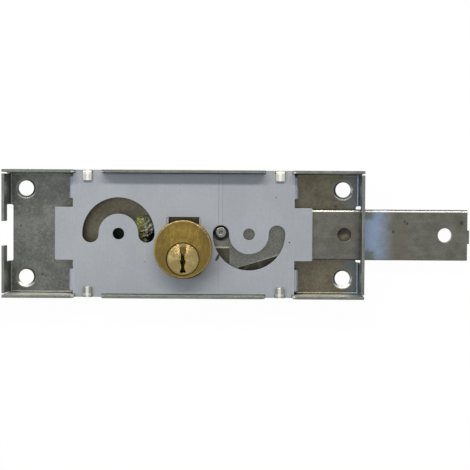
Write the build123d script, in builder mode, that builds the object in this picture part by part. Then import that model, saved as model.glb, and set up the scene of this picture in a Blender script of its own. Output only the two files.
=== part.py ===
from build123d import *
import os
from math import acos, asin, atan2, cos, degrees, pi, radians, sin, tan

os.makedirs("parts", exist_ok=True)

# All sizes are in millimetres. The origin is the middle of the case's back face, with X along the
# bar, Y across the case and Z out of its open side, towards the key.

# Case: one folded steel sheet with four low walls
case_length = 155.0
case_width = 55.0
case_depth = 15.0
case_sheet = 1.25
case_bend = 1.0
corner_gap = 0.65
corner_gap_reach = 0.6
screw_inset_x = 8.2
screw_inset_y = 8.1
screw_hole_radius = 3.3
screw_sink_radius = 4.5
screw_sink_angle = 120.0

# Windows in the end walls, and the gap above the one that no bar uses
window_side_clearance = 1.3
window_top_clearance = 1.35
window_base_reach = 2.6
window_corner = 0.8
spare_gap_width = 10.5

# Cover plate, its arc slots, and the notches and bent tabs that hold it
cover_height = 8.0
cover_sheet = 1.25
cover_side_clearance = 0.25
notch_centre = 41.0
notch_width = 12.0
notch_chamfer = 1.5
ear_clearance = 0.3
ear_inset = 0.1
tab_centre = 41.5
tab_width = 3.8
tab_length = 3.2
tab_clearance = 0.05
tab_bend = 1.2
tab_notch_clearance = 0.2
leg_outer = 49.5
leg_bend = 1.25
leg_width = 9.3
leg_centre = 19.95
relief_reach = 47.8
guide_tab_reach = 55.5
guide_tab_overlap = 0.45
guide_tab_corner = 0.7
arc_slot_width = 7.0
arc_slot_overrun = 0.35
centre_hole_radius = 2.5

# Key cylinder: round head, flat-sided shank and an eccentric plug
head_radius = 12.4
head_top = 17.5
head_edge = 0.5
head_offset = -6.2
shank_width = 14.3
shank_rear = 5.2
opening_width = 14.7
opening_rise = 13.5
opening_corner = 0.9
opening_clearance = 0.7
plug_offset = -10.4
plug_radius = 5.9
plug_clearance = 0.05
flange_radius = 6.9
flange_clearance = 0.1
flange_depth = 1.5
plug_rear = 4.45
keyway_rear = 5.6
channel_width = 2.7
channel_depth = 0.6
# Half widths of the keyway, and the heights from the plug's middle where they apply
keyway_half_widths = (0.75, 0.75, 1.15, 1.15, 0.65, 0.65, 1.2, 1.2)
keyway_heights = (2.5, -0.3, -0.6, -1.4, -2.6, -3.9, -5.2, -6.05)
blade_width = 5.0
blade_thickness = 1.3
blade_clearance = 0.05
blade_foot = 1.8
blade_top = 5.4

# Pin tumblers, drawn with the right key's heights so that the plug can turn
tumbler_count = 4
tumbler_first = 6.7
tumbler_pitch = 2.55
tumbler_radius = 1.0
tumbler_clearance = 0.05
tumbler_floor = 0.6
tumbler_tip = 0.5
key_pin_top = 5.7
key_pin_lengths = (4.6, 3.8, 5.0, 4.2)
driver_bottom = 6.0
driver_length = 4.0
tumbler_spring_length = 3.9
tumbler_spring_wall = 0.3
cap_length = 2.2

# Circlip behind the plug and the horseshoe clip behind the cover
circlip_thickness = 0.5
circlip_clearance = 0.05
circlip_groove = 0.6
circlip_rim = 1.2
circlip_mouth = 4.0
clip_thickness = 0.75
clip_clearance = 0.05
clip_bite = 0.55
clip_outer_width = 19.0
clip_foot = -14.0
clip_top = 10.5
clip_bridge = 2.9

# Pinion and toothed crank: the key's full turn gives the crank its half turn
tooth_module = 1.25
pinion_teeth = 16
crank_teeth = 32
pressure_angle = 20.0
tooth_addendum = 0.88
tooth_dedendum = 1.25
tooth_backlash = 0.16
tooth_sink = 0.3
toothed_margin = 13.0
washer_thickness = 0.25
washer_rim = 2.4
gear_thickness = 2.2
rim_width = 2.4
crank_flat = -6.3
crank_step_x = 6.5
crank_step_y = 0.6
pinion_hub_radius = 5.0
pinion_hub_top = 4.3
journal_radius = 2.45
journal_foot = 0.1
base_bush_radius = 3.5
stud_radius = 3.0
stud_rise = 0.15
crank_bush_wall = 1.0
shaft_clearance = 0.05
rivet_clearance = 0.02

# Crank pin and the bar that it throws
crank_radius = 12.1
crank_tilt = 4.0
pin_radius = 1.5
pin_head_radius = 2.25
pin_head_gap = 0.25
pin_head_top = 9.8
pin_head_edge = 0.4
pin_dimple_radius = 0.9
pin_dimple_depth = 0.5
pin_clearance = 0.12
bar_thickness = 3.0
bar_height = 3.95
bar_width = 22.0
bar_end = 122.7
bar_edge = 1.0
bar_tongue_width = 5.9
bar_tongue_reach = 0.8
bar_tongue_offset = -0.75
yoke_leg = 3.05
yoke_slot_top = 3.5
yoke_slot_relief = 1.2
yoke_slot_corner = 1.2
yoke_web = 3.3
yoke_heel = 17.0
yoke_knee = (24.3, -14.3)
neck_start = (41.0, -9.4)
neck_end = 44.4
inner_hole_x = 69.45
inner_hole_radius = 2.95
rod_hole_x = 113.03
rod_hole_radius = 3.1

# Block that carries the bar inside the case, and its two rivets
guide_near = 58.0
guide_length = 15.0
guide_inset = 0.2
guide_clearance = 0.05
guide_edge = 0.5
guide_rivet_radius = 1.5
guide_rivet_near = 3.5
guide_rivet_pitch = 12.0

# Heights and places that follow from the sizes above
screw_pitch_x = case_length - 2 * screw_inset_x
screw_pitch_y = case_width - 2 * screw_inset_y
gear_height = case_sheet + washer_thickness
gear_top = gear_height + gear_thickness
cover_top = cover_height + cover_sheet
bar_top = bar_height + bar_thickness
inner_width = case_width / 2 - case_sheet
gear_distance = tooth_module * (pinion_teeth + crank_teeth) / 2
crank_x = (gear_distance**2 - plug_offset**2) ** 0.5
mesh_angle = degrees(atan2(plug_offset, -crank_x)) + 360
bar_travel = 2 * crank_radius * cos(radians(crank_tilt))


def pin_drift(turn):
    """How far the pin runs ahead of a bar that moves evenly, at an angle past the row of pivots."""
    start = -radians(crank_tilt)
    pin = crank_radius * (cos(start) - cos(turn))
    bar = bar_travel * (turn - start) / pi
    return pin - bar


widest_turn = asin(bar_travel / pi / crank_radius)
slot_room = pin_radius + pin_clearance
pin_rest_x = crank_x - crank_radius * cos(radians(crank_tilt))
pin_rest_y = crank_radius * sin(radians(crank_tilt))
yoke_slot_left = pin_rest_x + pin_drift(widest_turn) - slot_room
yoke_slot_right = pin_rest_x + pin_drift(pi - widest_turn) + slot_room
yoke_slot_bottom = -crank_radius - slot_room - yoke_slot_relief


def tooth_half_angle(radius, teeth):
    """Half the angle that an involute tooth fills at a radius, in radians."""
    pitch_radius = tooth_module * teeth / 2
    slope = radians(pressure_angle)
    here = acos(min(1.0, pitch_radius * cos(slope) / radius))
    half_at_pitch = (pi * tooth_module / 2 - tooth_backlash) / (2 * pitch_radius)
    return half_at_pitch + (tan(slope) - slope) - (tan(here) - here)


def tooth_point(radius, side, teeth):
    """A point on one flank of the tooth that lies along X."""
    angle = side * tooth_half_angle(radius, teeth)
    return (radius * cos(angle), radius * sin(angle))


def tooth(teeth):
    """One gear tooth along X, sunk a little into the root circle."""
    pitch_radius = tooth_module * teeth / 2
    base = max(pitch_radius * cos(radians(pressure_angle)), pitch_radius - tooth_dedendum * tooth_module)
    tip = pitch_radius + tooth_addendum * tooth_module
    sunk = pitch_radius - (tooth_dedendum + tooth_sink) * tooth_module
    middle = (base + tip) / 2
    with BuildSketch(mode=Mode.PRIVATE) as one_tooth:
        with BuildLine():
            foot_angle = tooth_half_angle(base, teeth)
            left_foot = (sunk * cos(foot_angle), -sunk * sin(foot_angle))
            right_foot = (sunk * cos(foot_angle), sunk * sin(foot_angle))
            Line(left_foot, tooth_point(base, -1, teeth))
            ThreePointArc(*(tooth_point(r, -1, teeth) for r in (base, middle, tip)))
            Line(tooth_point(tip, -1, teeth), tooth_point(tip, 1, teeth))
            ThreePointArc(*(tooth_point(r, 1, teeth) for r in (tip, middle, base)))
            Line(tooth_point(base, 1, teeth), right_foot)
            Line(right_foot, left_foot)
        make_face()
    return one_tooth.sketch


def root_radius(teeth):
    """Radius at the foot of the teeth."""
    return tooth_module * (teeth / 2 - tooth_dedendum)


def bent_corner(side, far, near, top, foot, radius):
    """A rectangle from near to far on one side, with a round upper outer corner."""
    with BuildSketch(mode=Mode.PRIVATE) as block:
        with Locations((side * (far + near) / 2, (top + foot) / 2)):
            Rectangle(far - near, top - foot)
        upper = block.vertices().group_by(Axis.Y)[-1].sort_by(Axis.X)
        fillet(upper[-1 if side > 0 else 0], radius=radius)
    return block.sketch


def save(part, name):
    """Label a finished piece and write its file."""
    part.label = name
    export_step(part, f"parts/{name}.step")


# Case: a block with rounded lower edges, hollowed to one sheet thickness
with BuildPart() as case_tray:
    with BuildSketch():
        Rectangle(case_length, case_width)
    extrude(amount=case_depth)
    fillet(case_tray.faces().sort_by(Axis.Z)[0].edges(), radius=case_bend + case_sheet)
    offset(amount=-case_sheet, openings=case_tray.faces().sort_by(Axis.Z)[-1])
    # The end walls stop short of the long walls
    with BuildSketch(Plane.XY.offset(case_bend + case_sheet)):
        reach = case_sheet + corner_gap_reach
        with GridLocations(case_length - reach, 2 * inner_width - corner_gap, 2, 2):
            Rectangle(reach, corner_gap)
    extrude(amount=case_depth, mode=Mode.SUBTRACT)
    # The long walls are cut down to the cover plate in four places, with bevelled upper corners
    with BuildSketch(Plane.XZ):
        for middle in (-notch_centre, notch_centre):
            with BuildLine():
                left = middle - notch_width / 2
                right = middle + notch_width / 2
                Polyline(
                    (left, cover_height),
                    (right, cover_height),
                    (right, case_depth - notch_chamfer),
                    (right + notch_chamfer, case_depth),
                    (left - notch_chamfer, case_depth),
                    (left, case_depth - notch_chamfer),
                    close=True,
                )
            make_face()
    extrude(amount=case_width, both=True, mode=Mode.SUBTRACT)
    # Windows for the bar, and the gap above the spare one
    window_width = bar_width + 2 * window_side_clearance
    with BuildSketch():
        with GridLocations(case_length, 0, 2, 1):
            RectangleRounded(2 * window_base_reach, window_width, window_corner)
    extrude(amount=bar_top + window_top_clearance, mode=Mode.SUBTRACT)
    with BuildSketch():
        with Locations((-case_length / 2, 0)):
            Rectangle(2 * window_base_reach, spare_gap_width)
    extrude(amount=case_depth, mode=Mode.SUBTRACT)
    # Bent tabs, one in each notch
    under = cover_top + tab_clearance
    tab_tip = case_width / 2 - tab_length
    for tab_x in (-tab_centre, tab_centre):
        for side in (-1, 1):
            with BuildSketch(Plane.YZ.offset(tab_x)):
                add(bent_corner(side, case_width / 2, tab_tip, under + tab_bend, cover_height, tab_bend))
                with Locations((side * (inner_width + tab_tip) / 2, (under + cover_height) / 2)):
                    Rectangle(inner_width - tab_tip, under - cover_height, mode=Mode.SUBTRACT)
            extrude(amount=tab_width / 2, both=True)
    with Locations((0, 0, case_sheet)):
        with GridLocations(screw_pitch_x, screw_pitch_y, 2, 2):
            CounterSinkHole(screw_hole_radius, screw_sink_radius, 2 * case_sheet, screw_sink_angle)
    # Holes for the stud, the pinion's bush and the block's rivets
    with BuildSketch():
        with Locations((crank_x, 0)):
            Circle(stud_radius + rivet_clearance)
        with Locations((0, plug_offset)):
            Circle(base_bush_radius + rivet_clearance)
        with Locations((guide_near + guide_rivet_near, 0)):
            with GridLocations(0, guide_rivet_pitch, 1, 2):
                Circle(guide_rivet_radius + rivet_clearance)
    extrude(amount=2 * case_sheet, mode=Mode.SUBTRACT)
save(case_tray.part, "case_tray")

# Cover plate: flat, with ears over the case's notches and four legs bent down to the base
with BuildPart() as cover_plate:
    with BuildSketch(Plane.XY.offset(cover_height)):
        Rectangle(2 * relief_reach, 2 * (inner_width - cover_side_clearance))
        with Locations((-notch_centre, 0), (notch_centre, 0)):
            Rectangle(notch_width - 2 * ear_clearance, case_width - 2 * ear_inset)
        with BuildSketch(mode=Mode.PRIVATE) as guide_tabs:
            Rectangle(2 * guide_tab_reach, bar_width + 2 * guide_tab_overlap)
            fillet(guide_tabs.vertices(), radius=guide_tab_corner)
        add(guide_tabs.sketch)
        with GridLocations(2 * tab_centre, case_width, 2, 2):
            notch_depth = 2 * (case_sheet + tab_notch_clearance)
            Rectangle(tab_width + 2 * tab_notch_clearance, notch_depth, mode=Mode.SUBTRACT)
        overrun = degrees(arc_slot_overrun / crank_radius)
        for slot_x, start in ((-crank_x, 0), (crank_x, 180)):
            path = CenterArc(
                (slot_x, 0), crank_radius, start - overrun, 180 + 2 * overrun, mode=Mode.PRIVATE
            )
            SlotArc(path, arc_slot_width, mode=Mode.SUBTRACT)
        with Locations((-crank_x, 0), (crank_x, 0)):
            Circle(centre_hole_radius, mode=Mode.SUBTRACT)
        # The cylinder's opening is square above and round below
        with BuildSketch(mode=Mode.PRIVATE) as opening:
            with Locations((0, head_offset)):
                Circle(head_radius + opening_clearance)
                Rectangle(opening_width, 4 * head_radius, mode=Mode.INTERSECT)
            with Locations((0, head_offset + opening_rise / 2)):
                Rectangle(opening_width, opening_rise)
            fillet(opening.vertices().group_by(Axis.Y)[-1], radius=opening_corner)
        add(opening.sketch, mode=Mode.SUBTRACT)
    extrude(amount=cover_sheet)
    leg_root = leg_outer - cover_sheet - leg_bend
    leg_foot = case_sheet + tab_clearance
    for side in (-1, 1):
        for leg_y in (-leg_centre, leg_centre):
            with BuildSketch(Plane.XZ.offset(-leg_y)):
                add(bent_corner(side, leg_outer, leg_root, cover_top, leg_foot, leg_bend + cover_sheet))
                inner = bent_corner(side, leg_outer - cover_sheet, leg_root, cover_height, leg_foot, leg_bend)
                add(inner, mode=Mode.SUBTRACT)
            extrude(amount=leg_width / 2, both=True)
save(cover_plate.part, "cover_plate")

# Cylinder body: round head on the cover plate, flat-sided shank through it
tumbler_heights = [tumbler_first + tumbler_pitch * index for index in range(tumbler_count)]
with BuildPart() as cylinder_body:
    with BuildSketch(Plane.XY.offset(cover_top)):
        with Locations((0, head_offset)):
            Circle(head_radius)
    extrude(amount=head_top - cover_top)
    fillet(cylinder_body.edges().group_by(Axis.Z)[-1], radius=head_edge)
    with BuildSketch(Plane.XY.offset(shank_rear)):
        with Locations((0, head_offset)):
            Circle(head_radius)
            Rectangle(shank_width, 4 * head_radius, mode=Mode.INTERSECT)
    extrude(amount=cover_top - shank_rear)
    # Grooves in the flats for the horseshoe clip
    groove_bottom = cover_height - clip_thickness - 2 * clip_clearance
    with BuildSketch(Plane.XY.offset(groove_bottom)):
        with Locations((-shank_width / 2, head_offset), (shank_width / 2, head_offset)):
            Rectangle(2 * (clip_bite + clip_clearance), 4 * head_radius)
    extrude(amount=cover_height - groove_bottom, mode=Mode.SUBTRACT)
    with BuildSketch(Plane.XY.offset(shank_rear)):
        with Locations((0, plug_offset)):
            Circle(plug_radius + plug_clearance)
    extrude(amount=case_depth * 2, mode=Mode.SUBTRACT)
    with BuildSketch(Plane.XY.offset(head_top - flange_depth - plug_clearance)):
        with Locations((0, plug_offset)):
            Circle(flange_radius + flange_clearance)
    extrude(amount=case_depth, mode=Mode.SUBTRACT)
    with BuildSketch(Plane.XZ.offset(-plug_offset)):
        with Locations(*((0, height) for height in tumbler_heights)):
            Circle(tumbler_radius + tumbler_clearance)
    extrude(amount=-2 * head_radius, mode=Mode.SUBTRACT)
save(cylinder_body.part, "cylinder_body")

# Plug with its flange, keyway, tumbler holes and a slot for the tail blade
with BuildPart() as cylinder_plug:
    with BuildSketch(Plane.XY.offset(plug_rear)):
        with Locations((0, plug_offset)):
            Circle(plug_radius)
    extrude(amount=head_top - flange_depth - plug_rear)
    with BuildSketch(Plane.XY.offset(head_top - flange_depth)):
        with Locations((0, plug_offset)):
            Circle(flange_radius)
    extrude(amount=flange_depth)
    with BuildSketch(Plane.XY.offset(plug_rear)):
        with Locations((0, plug_offset)):
            Rectangle(blade_width + 2 * blade_clearance, blade_thickness + 2 * blade_clearance)
    extrude(amount=blade_top + blade_clearance - plug_rear, mode=Mode.SUBTRACT)
    # Keyway with a ward on each side
    keyway_side = tuple(zip(keyway_half_widths, keyway_heights))
    with BuildSketch(Plane.XY.offset(keyway_rear)):
        with BuildLine():
            right_side = [(x, plug_offset + y) for x, y in keyway_side]
            left_side = [(-x, plug_offset + y) for x, y in reversed(keyway_side)]
            Polyline(*right_side, *left_side, close=True)
        make_face()
    extrude(amount=head_top, mode=Mode.SUBTRACT)
    # Shallow channel from the keyway to the rim of the flange
    with BuildSketch(Plane.XY.offset(head_top - channel_depth)):
        with Locations((0, plug_offset + flange_radius)):
            Rectangle(channel_width, 2 * flange_radius)
    extrude(amount=2 * channel_depth, mode=Mode.SUBTRACT)
    with BuildSketch(Plane.XZ.offset(-plug_offset - tumbler_floor)):
        with Locations(*((0, height) for height in tumbler_heights)):
            Circle(tumbler_radius + tumbler_clearance)
    extrude(amount=-plug_radius, mode=Mode.SUBTRACT)
    # Groove for the circlip
    with BuildSketch(Plane.XY.offset(plug_rear + 2 * circlip_clearance)):
        with Locations((0, plug_offset)):
            Circle(2 * plug_radius)
            Circle(plug_radius - circlip_groove, mode=Mode.SUBTRACT)
    extrude(amount=circlip_thickness + 2 * circlip_clearance, mode=Mode.SUBTRACT)
save(cylinder_plug.part, "cylinder_plug")

# Tumblers: key pins in the plug, driver pins, springs and caps in the body
for index, (height, length) in enumerate(zip(tumbler_heights, key_pin_lengths), start=1):
    with BuildPart() as key_pin:
        with BuildSketch(Plane.XZ.offset(-plug_offset - key_pin_top + length)):
            with Locations((0, height)):
                Circle(tumbler_radius)
        extrude(amount=-length)
        chamfer(key_pin.edges().group_by(Axis.Y)[0], length=tumbler_tip)
    save(key_pin.part, f"key_pin_{index}")

    with BuildPart() as driver_pin:
        with BuildSketch(Plane.XZ.offset(-plug_offset - driver_bottom)):
            with Locations((0, height)):
                Circle(tumbler_radius)
        extrude(amount=-driver_length)
    save(driver_pin.part, f"driver_pin_{index}")

    spring_foot = driver_bottom + driver_length + tumbler_clearance
    with BuildPart() as tumbler_spring:
        with BuildSketch(Plane.XZ.offset(-plug_offset - spring_foot)):
            with Locations((0, height)):
                Circle(tumbler_radius)
                Circle(tumbler_radius - tumbler_spring_wall, mode=Mode.SUBTRACT)
        extrude(amount=-tumbler_spring_length)
    save(tumbler_spring.part, f"tumbler_spring_{index}")

    cap_foot = spring_foot + tumbler_spring_length + tumbler_clearance
    with BuildPart() as chamber_cap:
        with BuildSketch(Plane.XZ.offset(-plug_offset - cap_foot)):
            with Locations((0, height)):
                Circle(tumbler_radius + tumbler_clearance - rivet_clearance)
        extrude(amount=-cap_length)
    save(chamber_cap.part, f"chamber_cap_{index}")

# Circlip that holds the plug in its body
with BuildPart() as plug_circlip:
    with BuildSketch(Plane.XY.offset(plug_rear + 3 * circlip_clearance)):
        with Locations((0, plug_offset)):
            Circle(plug_radius + circlip_rim)
            Circle(plug_radius - circlip_groove + circlip_clearance, mode=Mode.SUBTRACT)
        with Locations((0, plug_offset - plug_radius)):
            Rectangle(circlip_mouth, plug_radius, mode=Mode.SUBTRACT)
    extrude(amount=circlip_thickness)
save(plug_circlip.part, "plug_circlip")

# Horseshoe clip that holds the shank behind the cover plate
with BuildPart() as cylinder_clip:
    with BuildSketch(Plane.XY.offset(cover_height - clip_thickness - clip_clearance)):
        with Locations((0, (clip_top + clip_foot) / 2)):
            RectangleRounded(clip_outer_width, clip_top - clip_foot, clip_bridge / 2 - clip_clearance)
        with Locations((0, clip_foot - clip_bridge)):
            Rectangle(shank_width - 2 * clip_bite, 2 * (clip_top - clip_foot), mode=Mode.SUBTRACT)
    extrude(amount=clip_thickness)
save(cylinder_clip.part, "cylinder_clip")

# Blade that joins the plug to the pinion
with BuildPart() as tail_blade:
    with BuildSketch(Plane.XY.offset(blade_foot)):
        with Locations((0, plug_offset)):
            Rectangle(blade_width, blade_thickness)
    extrude(amount=blade_top - blade_foot)
save(tail_blade.part, "tail_blade")

# Pinion with its journal, hub and blade slot
with BuildPart() as drive_pinion:
    with BuildSketch(Plane.XY.offset(gear_height)):
        with Locations((0, plug_offset)):
            Circle(root_radius(pinion_teeth))
        for index in range(pinion_teeth):
            tooth_angle = mesh_angle - 180 + (index + 0.5) * 360 / pinion_teeth
            with Locations(Location((0, plug_offset, 0), (0, 0, tooth_angle))):
                add(tooth(pinion_teeth))
    extrude(amount=gear_thickness)
    with BuildSketch(Plane.XY.offset(gear_top)):
        with Locations((0, plug_offset)):
            Circle(pinion_hub_radius)
    extrude(amount=pinion_hub_top - gear_top)
    with BuildSketch(Plane.XY.offset(journal_foot)):
        with Locations((0, plug_offset)):
            Circle(journal_radius)
    extrude(amount=gear_height - journal_foot)
    with BuildSketch(Plane.XY.offset(blade_foot - blade_clearance)):
        with Locations((0, plug_offset)):
            Rectangle(blade_width + 2 * blade_clearance, blade_thickness + 2 * blade_clearance)
    extrude(amount=pinion_hub_top, mode=Mode.SUBTRACT)
save(drive_pinion.part, "drive_pinion")

# Crank: most of a disc, with teeth on the upper rim and two straight cuts below
with BuildPart() as crank_sector:
    crank_root = root_radius(crank_teeth)
    first_tooth = -round((180 + toothed_margin) / 360 * crank_teeth)
    last_tooth = round(toothed_margin / 360 * crank_teeth)
    with BuildSketch(Plane.XY.offset(gear_height)):
        with Locations((crank_x, 0)):
            Circle(crank_root)
        with Locations((crank_x, crank_root + crank_flat)):
            Rectangle(2 * crank_root, 2 * crank_root, mode=Mode.INTERSECT)
        with Locations((crank_x + crank_step_x + crank_root, crank_step_y - crank_root)):
            Rectangle(2 * crank_root, 2 * crank_root, mode=Mode.SUBTRACT)
        rim_turn = last_tooth * 360 / crank_teeth
        rim_path = CenterArc(
            (crank_x, 0), crank_root - rim_width / 2, mesh_angle - 90, 90 + rim_turn, mode=Mode.PRIVATE
        )
        SlotArc(rim_path, rim_width)
        for index in range(first_tooth, last_tooth + 1):
            tooth_angle = mesh_angle + index * 360 / crank_teeth
            with Locations(Location((crank_x, 0, 0), (0, 0, tooth_angle))):
                add(tooth(crank_teeth))
        with Locations((crank_x, 0)):
            bush_radius = stud_radius + shaft_clearance + crank_bush_wall
            Circle(bush_radius + rivet_clearance, mode=Mode.SUBTRACT)
        with Locations((pin_rest_x, pin_rest_y)):
            Circle(pin_radius + rivet_clearance, mode=Mode.SUBTRACT)
    extrude(amount=gear_thickness)
save(crank_sector.part, "crank_sector")

# Crank pin with a dimpled head that runs in the cover's arc slot
with BuildPart() as crank_pin:
    with BuildSketch(Plane.XY.offset(gear_height)):
        with Locations((pin_rest_x, pin_rest_y)):
            Circle(pin_radius)
    extrude(amount=pin_head_top - gear_height)
    with BuildSketch(Plane.XY.offset(bar_top + pin_head_gap)):
        with Locations((pin_rest_x, pin_rest_y)):
            Circle(pin_head_radius)
    extrude(amount=pin_head_top - bar_top - pin_head_gap)
    fillet(crank_pin.edges().group_by(Axis.Z)[-1], radius=pin_head_edge)
    with BuildSketch(Plane.XY.offset(pin_head_top)):
        with Locations((pin_rest_x, pin_rest_y)):
            Circle(pin_dimple_radius)
    extrude(amount=-pin_dimple_depth, taper=45, mode=Mode.SUBTRACT)
save(crank_pin.part, "crank_pin")

# Bush pressed into the crank, and the stud that it turns on
with BuildPart() as crank_bush:
    with BuildSketch(Plane.XY.offset(gear_height)):
        with Locations((crank_x, 0)):
            Circle(stud_radius + shaft_clearance + crank_bush_wall)
            Circle(stud_radius + shaft_clearance, mode=Mode.SUBTRACT)
    extrude(amount=gear_thickness)
save(crank_bush.part, "crank_bush")

with BuildPart() as crank_stud:
    with BuildSketch():
        with Locations((crank_x, 0)):
            Circle(stud_radius)
    extrude(amount=gear_top + stud_rise)
save(crank_stud.part, "crank_stud")

# Bush in the base for the pinion's journal
with BuildPart() as pinion_bush:
    with BuildSketch():
        with Locations((0, plug_offset)):
            Circle(base_bush_radius)
            Circle(journal_radius + shaft_clearance, mode=Mode.SUBTRACT)
    extrude(amount=case_sheet)
save(pinion_bush.part, "pinion_bush")

# Thin washers under the crank and the pinion
for name, place, bore in (
    ("crank_washer", (crank_x, 0), stud_radius),
    ("pinion_washer", (0, plug_offset), journal_radius),
):
    with BuildPart() as washer:
        with BuildSketch(Plane.XY.offset(case_sheet)):
            with Locations(place):
                Circle(bore + shaft_clearance + washer_rim)
                Circle(bore + shaft_clearance, mode=Mode.SUBTRACT)
        extrude(amount=washer_thickness)
    save(washer.part, name)

# Bar: a steel strip with eased long edges, whose inner end is a yoke round the crank pin
with BuildPart() as bolt_bar:
    half = bar_width / 2
    yoke_left = yoke_slot_left - yoke_leg
    yoke_foot = yoke_slot_bottom - yoke_web
    with BuildSketch(Plane.XY.offset(bar_height)):
        with BuildLine():
            Polyline(
                (yoke_left, half),
                (yoke_left, yoke_foot),
                (yoke_heel, yoke_foot),
                yoke_knee,
                neck_start,
                (neck_end, neck_start[1]),
                (neck_end + half + neck_start[1], -half),
                (bar_end, -half),
                (bar_end, half),
                close=True,
            )
        strip = make_face()
        fillet(strip.vertices().group_by(Axis.X)[0], radius=yoke_leg / 2)
        with Locations((bar_end, bar_tongue_offset)):
            Rectangle(2 * bar_tongue_reach, bar_tongue_width)
        slot_middle = (yoke_slot_left + yoke_slot_right) / 2
        with Locations((slot_middle, (yoke_slot_top + yoke_slot_bottom) / 2)):
            RectangleRounded(
                yoke_slot_right - yoke_slot_left,
                yoke_slot_top - yoke_slot_bottom,
                yoke_slot_corner,
                mode=Mode.SUBTRACT,
            )
        with Locations((inner_hole_x, 0)):
            Circle(inner_hole_radius, mode=Mode.SUBTRACT)
        with Locations((rod_hole_x, 0)):
            Circle(rod_hole_radius, mode=Mode.SUBTRACT)
    extrude(amount=bar_thickness)
    top_edges = bolt_bar.faces().sort_by(Axis.Z)[-1].edges().filter_by(Axis.X)
    fillet([edge for edge in top_edges if edge.length > 2 * bar_width], radius=bar_edge)
save(bolt_bar.part, "bolt_bar")

# Block under the bar and its rivets
guide_top = bar_height - guide_clearance
with BuildPart() as bolt_guide:
    with BuildSketch(Plane.XY.offset(case_sheet)):
        with Locations((guide_near + guide_length / 2, 0)):
            Rectangle(guide_length, bar_width - 2 * guide_inset)
        with Locations((guide_near + guide_rivet_near, 0)):
            with GridLocations(0, guide_rivet_pitch, 1, 2):
                Circle(guide_rivet_radius + rivet_clearance, mode=Mode.SUBTRACT)
    extrude(amount=guide_top - case_sheet)
    chamfer(bolt_guide.faces().sort_by(Axis.Z)[-1].edges().filter_by(Axis.Y), length=guide_edge)
save(bolt_guide.part, "bolt_guide")

for name, side in (("guide_rivet_upper", 1), ("guide_rivet_lower", -1)):
    with BuildPart() as rivet:
        with BuildSketch():
            with Locations((guide_near + guide_rivet_near, side * guide_rivet_pitch / 2)):
                Circle(guide_rivet_radius)
        extrude(amount=guide_top - guide_clearance)
    save(rivet.part, name)
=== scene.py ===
"""Looks of a roller shutter lock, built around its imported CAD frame.

The lock lies on its back on a pale floor. X runs along the sliding bar, Y across the case and Z out
of the open side, towards the camera. Lengths in dataclass fields are in millimetres unless a name
says otherwise, and meshes are in metres, as the frame is.
"""

from __future__ import annotations

import logging
import math
from dataclasses import dataclass, replace
from enum import Enum
from typing import Callable, Sequence, Union

import bmesh
import bpy
import numpy as np
from mathutils import Matrix, Vector

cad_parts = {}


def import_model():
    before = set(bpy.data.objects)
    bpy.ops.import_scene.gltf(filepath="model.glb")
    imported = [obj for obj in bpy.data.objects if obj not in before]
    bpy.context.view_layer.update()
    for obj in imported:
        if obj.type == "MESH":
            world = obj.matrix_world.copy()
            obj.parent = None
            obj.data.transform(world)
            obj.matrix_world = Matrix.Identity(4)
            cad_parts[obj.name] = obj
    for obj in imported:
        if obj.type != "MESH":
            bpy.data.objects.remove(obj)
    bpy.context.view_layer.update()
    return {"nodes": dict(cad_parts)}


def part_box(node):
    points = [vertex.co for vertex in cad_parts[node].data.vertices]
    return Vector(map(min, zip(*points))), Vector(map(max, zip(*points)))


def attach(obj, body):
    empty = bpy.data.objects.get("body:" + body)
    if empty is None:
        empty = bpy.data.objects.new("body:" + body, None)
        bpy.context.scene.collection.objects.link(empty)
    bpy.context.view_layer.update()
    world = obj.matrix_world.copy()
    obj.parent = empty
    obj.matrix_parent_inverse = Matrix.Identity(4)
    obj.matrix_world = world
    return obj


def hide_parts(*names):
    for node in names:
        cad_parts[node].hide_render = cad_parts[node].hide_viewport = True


LOG = logging.getLogger("shutter_lock")
MM = 0.001

Color = tuple[float, float, float]
Point = tuple[float, float, float]
Span = tuple[float, float]
Area = tuple[Span, Span]
Number = Union[float, "Value"]
Paint = Union[Color, bpy.types.NodeSocket]
Reshape = Callable[[bmesh.types.BMesh], None]

WHITE: Color = (1.0, 1.0, 1.0)
# Most of a noise lies between these two numbers.
USUAL: Span = (0.38, 0.62)
# Distance of the four bent tabs from the middle, along X.
TAB_X = 41.5
# X and Y of the crank pin and of the plug's axis, at rest.
CRANK_PIN: Span = (16.07, 0.84)
PLUG_AXIS: Span = (0.0, -10.4)
# X, Y and radius of the seam round the plug's flange.
PLUG_SEAM: Point = (*PLUG_AXIS, 6.95)


class Body(Enum):
    """The moving bodies of the frame."""

    CASE = "case"
    BOLT = "bolt"
    CRANK = "crank"
    KEY_PLUG = "key_plug"


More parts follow.
